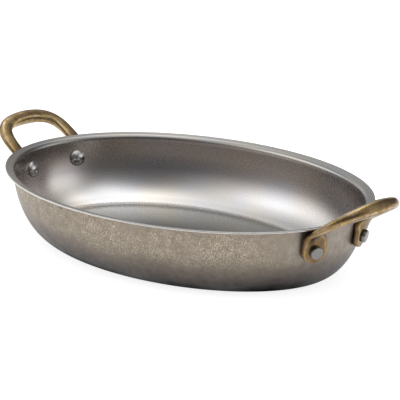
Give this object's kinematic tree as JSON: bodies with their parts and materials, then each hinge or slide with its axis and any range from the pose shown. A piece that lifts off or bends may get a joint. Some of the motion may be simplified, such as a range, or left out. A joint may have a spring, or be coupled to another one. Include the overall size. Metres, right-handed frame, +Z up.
{
  "type": "oval serving dish",
  "caption": "Oval steel serving dish with a flat base, curved walls and a narrow flared lip, carried by a riveted brass loop handle at each end.",
  "frame": {"origin": "middle of the flat base's underside", "axes": "+X along the dish towards the right handle, +Y across it towards the rear, +Z up"},
  "size_m": [0.2374, 0.142, 0.0468],
  "materials": {
    "dish_steel": "tumbled outside, fine satin brushing inside",
    "aged_brass": "aged and mottled, worn bright at the grip",
    "rivet_steel": "polished domes, plain flat tails"
  },
  "bodies": {
    "root": {"dish_body": "dish_steel", "right_handle": "aged_brass", "left_handle": "aged_brass", "right_handle_front_rivet": "rivet_steel", "right_handle_rear_rivet": "rivet_steel", "left_handle_front_rivet": "rivet_steel", "left_handle_rear_rivet": "rivet_steel"}
  },
  "joints": []
}
